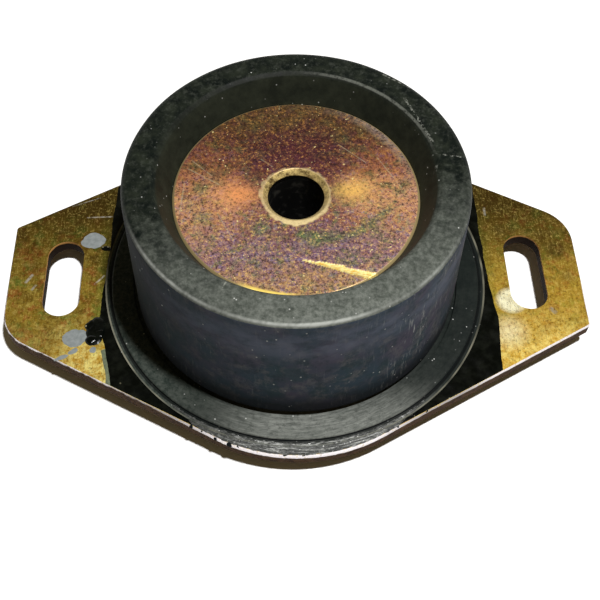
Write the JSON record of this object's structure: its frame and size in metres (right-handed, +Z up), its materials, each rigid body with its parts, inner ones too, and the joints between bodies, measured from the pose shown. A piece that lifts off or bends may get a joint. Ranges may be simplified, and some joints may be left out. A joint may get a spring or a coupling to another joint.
{
  "type": "engine mount",
  "caption": "Rubber-bonded engine mount: lozenge steel flange with bolt slots, round rubber body, and a recessed steel load disc over a through bore.",
  "frame": {"origin": "on the axis of the centre bore, in the plane of the rubber foot that the mount stands on", "axes": "+Z up along the centre bore, from the foot to the load disc; +X along the flange's length, through both bolt slots"},
  "size_m": [0.171, 0.118, 0.0555],
  "materials": {
    "flange_plating": "pressed steel with mottled yellow zinc chromate plating",
    "disc_plating": "iridescent yellow zinc chromate plating with gold speckle",
    "rubber": "moulded black rubber, dusty and lightly scuffed",
    "bond_coat": "black bonding coat, satin to glossy"
  },
  "bodies": {
    "root": {"flange_plate": "flange_plating", "rubber_body": "rubber", "load_disc": "disc_plating", "core_sleeve": "bond_coat"}
  },
  "joints": []
}
